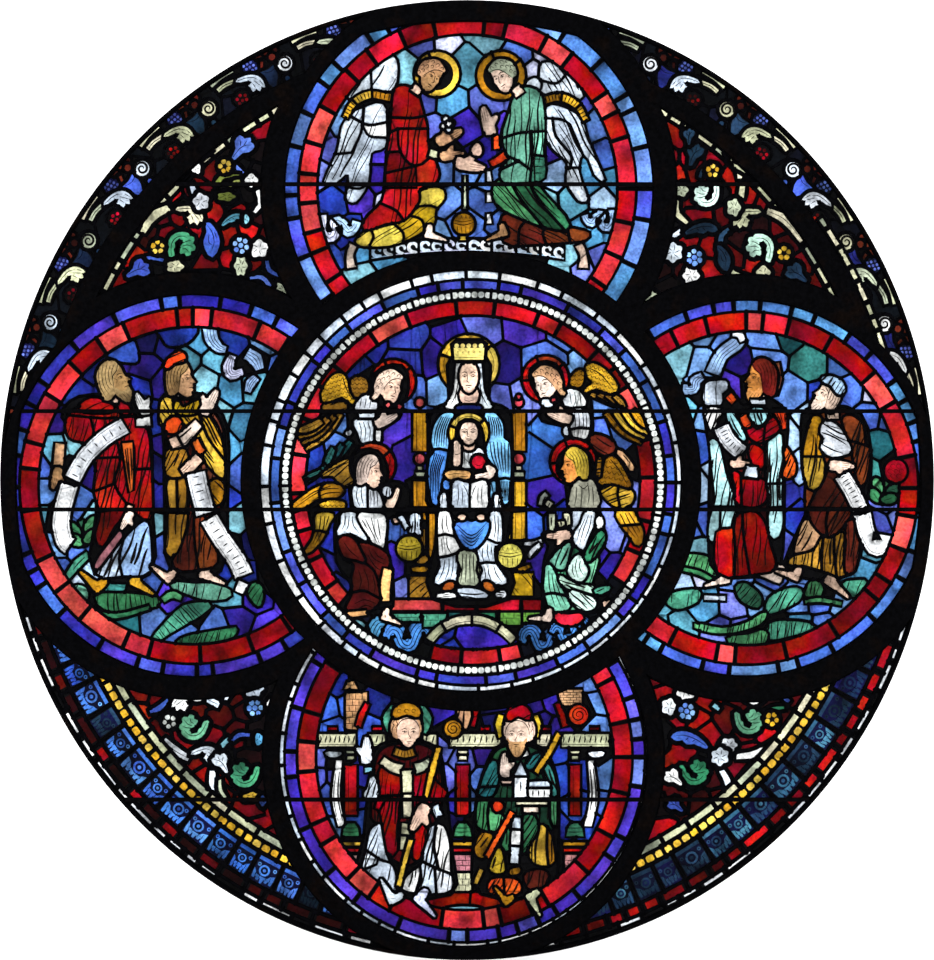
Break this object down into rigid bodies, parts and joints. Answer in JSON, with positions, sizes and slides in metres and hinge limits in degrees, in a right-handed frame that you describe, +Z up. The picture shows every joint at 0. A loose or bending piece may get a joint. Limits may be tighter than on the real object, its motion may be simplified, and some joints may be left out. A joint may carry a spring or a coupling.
{
  "type": "rose window",
  "caption": "Round stained glass rose window: leaded glass medallions, corner panels and borders in an iron armature, stiffened by saddle bars.",
  "frame": {"origin": "on the back face of the rim, at its lowest point, in the middle of the iron below the bottom medallion", "axes": "+X to the right as seen from indoors, +Y outwards through the window, +Z up"},
  "size_m": [2.3, 0.03, 2.3644],
  "materials": {
    "iron": "forged, blackened",
    "saddle_bar": "forged, blackened",
    "leaded_glass": "coloured pot-metal glass, leaded and painted",
    "lead": "oxidised lead came, soldered joints",
    "glass": "translucent coloured glass, streaked and weathered",
    "glass_paint": "fired dark glass paint"
  },
  "bodies": {
    "root": {"armature": "iron", "centre_medallion": "leaded_glass", "top_medallion": "leaded_glass", "left_medallion": "leaded_glass", "right_medallion": "leaded_glass", "bottom_medallion": "leaded_glass", "upper_left_spandrel": "leaded_glass", "upper_right_spandrel": "leaded_glass", "lower_left_spandrel": "leaded_glass", "lower_right_spandrel": "leaded_glass", "upper_left_border": "leaded_glass", "upper_right_border": "leaded_glass", "top_medallion_bar": "saddle_bar", "upper_left_spandrel_bar": "saddle_bar", "upper_right_spandrel_bar": "saddle_bar", "bottom_medallion_bar": "saddle_bar", "lower_left_spandrel_bar": "saddle_bar", "lower_right_spandrel_bar": "saddle_bar", "left_medallion_upper_bar": "saddle_bar", "left_medallion_lower_bar": "saddle_bar", "centre_medallion_upper_bar": "saddle_bar", "centre_medallion_lower_bar": "saddle_bar", "right_medallion_upper_bar": "saddle_bar", "right_medallion_lower_bar": "saddle_bar"}
  },
  "joints": []
}
